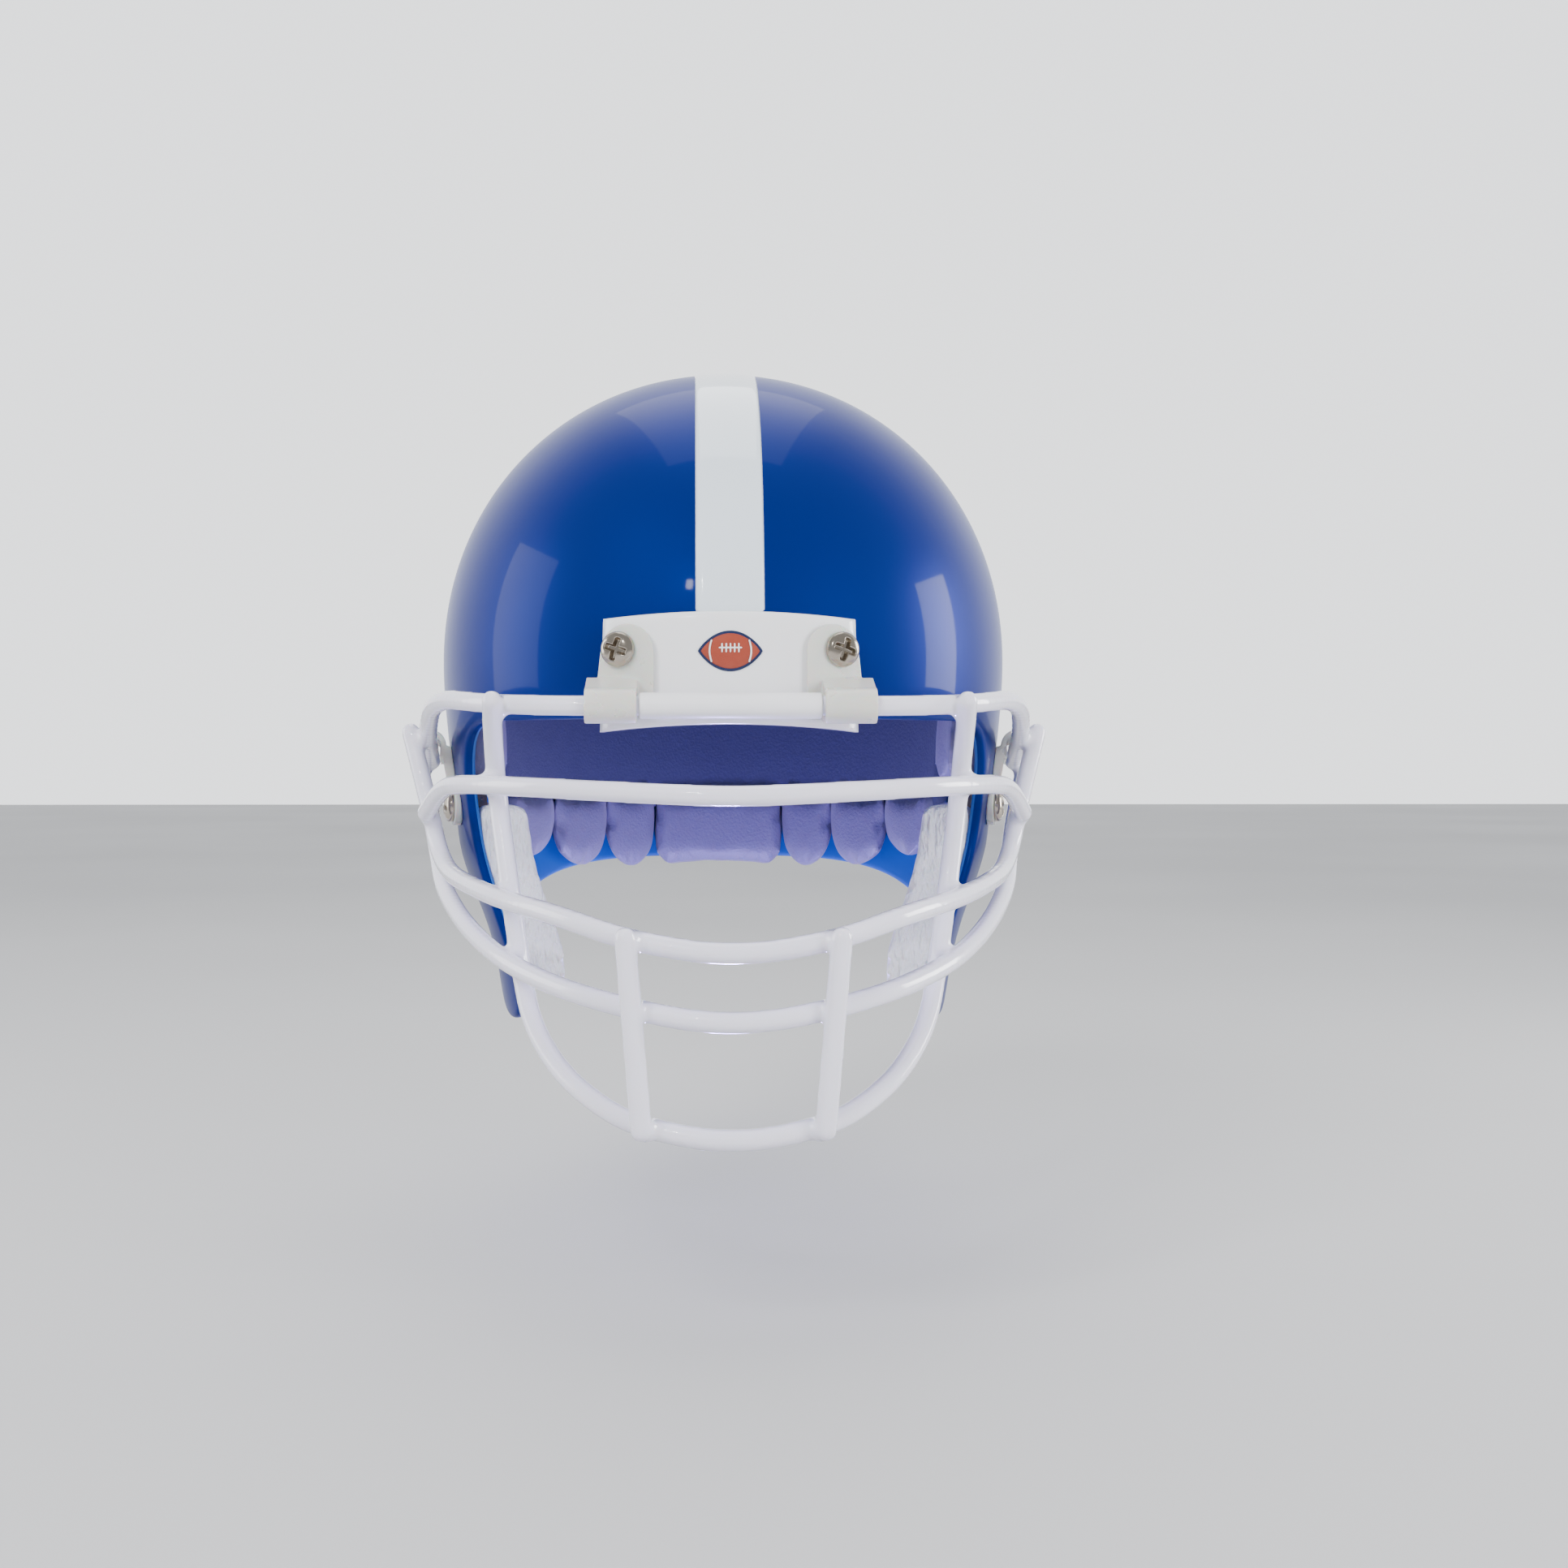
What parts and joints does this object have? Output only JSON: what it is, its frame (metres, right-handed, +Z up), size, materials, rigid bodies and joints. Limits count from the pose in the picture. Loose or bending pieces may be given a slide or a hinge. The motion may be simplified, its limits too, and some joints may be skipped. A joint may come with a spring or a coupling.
{
  "type": "american football helmet",
  "caption": "Half-size sports helmet: rounded blue shell with a white stripe, padded liner, crown magnet, and a white wire face mask that swings up on its brow clips.",
  "frame": {"origin": "bottom middle of the whole helmet's bounding box, on the plane the face mask's chin bar touches", "axes": "+X to the wearer's left, +Y to the back of the head (the face looks along -Y), +Z up"},
  "size_m": [0.1224, 0.1524, 0.1331],
  "materials": {
    "shell_paint": "metallic blue under a glossy clear coat",
    "stripe_gloss": "glossy white tape",
    "bumper_plastic": "glossy white",
    "badge_print": "printed red-brown, dark and white",
    "clip_plastic": "translucent, moulded",
    "screw_steel": "nickel plated",
    "nut_brass": "plain",
    "liner_vinyl": "smooth pale vinyl over foam",
    "jaw_vinyl": "wrinkled white vinyl over foam",
    "cup_plastic": "moulded",
    "magnet_nickel": "nickel plated",
    "sleeve_rubber": "smooth white",
    "wire_coating": "glossy white vinyl dip over steel wire"
  },
  "bodies": {
    "helmet": {"shell": "shell_paint", "centre_stripe": "stripe_gloss", "front_bumper": "bumper_plastic", "bumper_badge": "badge_print", "brow_clip_left": "clip_plastic", "brow_clip_right": "clip_plastic", "brow_screw_left": "screw_steel", "brow_screw_right": "screw_steel", "brow_nut_left": "nut_brass", "brow_nut_right": "nut_brass", "side_clip_left": "clip_plastic", "side_clip_right": "clip_plastic", "side_screw_left": "screw_steel", "side_screw_right": "screw_steel", "side_nut_left": "nut_brass", "side_nut_right": "nut_brass", "crown_pad": "liner_vinyl", "front_pad": "liner_vinyl", "rear_liner": "liner_vinyl", "rear_cell_1": "liner_vinyl", "rear_cell_2": "liner_vinyl", "rear_cell_3": "liner_vinyl", "rear_cell_4": "liner_vinyl", "rear_cell_5": "liner_vinyl", "rear_cell_6": "liner_vinyl", "rear_cell_7": "liner_vinyl", "temple_pad_left": "liner_vinyl", "temple_pad_right": "liner_vinyl", "jaw_pad_left": "jaw_vinyl", "jaw_pad_right": "jaw_vinyl", "magnet_cup": "cup_plastic", "hover_magnet": "magnet_nickel"},
    "mask": {"brow_bar": "wire_coating", "eye_bar": "wire_coating", "mouth_bar": "wire_coating", "lip_bar": "wire_coating", "chin_bar": "wire_coating", "post_left": "wire_coating", "post_right": "wire_coating", "bar_sleeve": "sleeve_rubber"}
  },
  "joints": [
    {"name": "mask_swing", "type": "hinge", "parent": "helmet", "child": "mask", "pos_m": [0, -0.0563, 0.0679], "axis": [-1, 0, 0], "range_deg": [0, 80]}
  ]
}
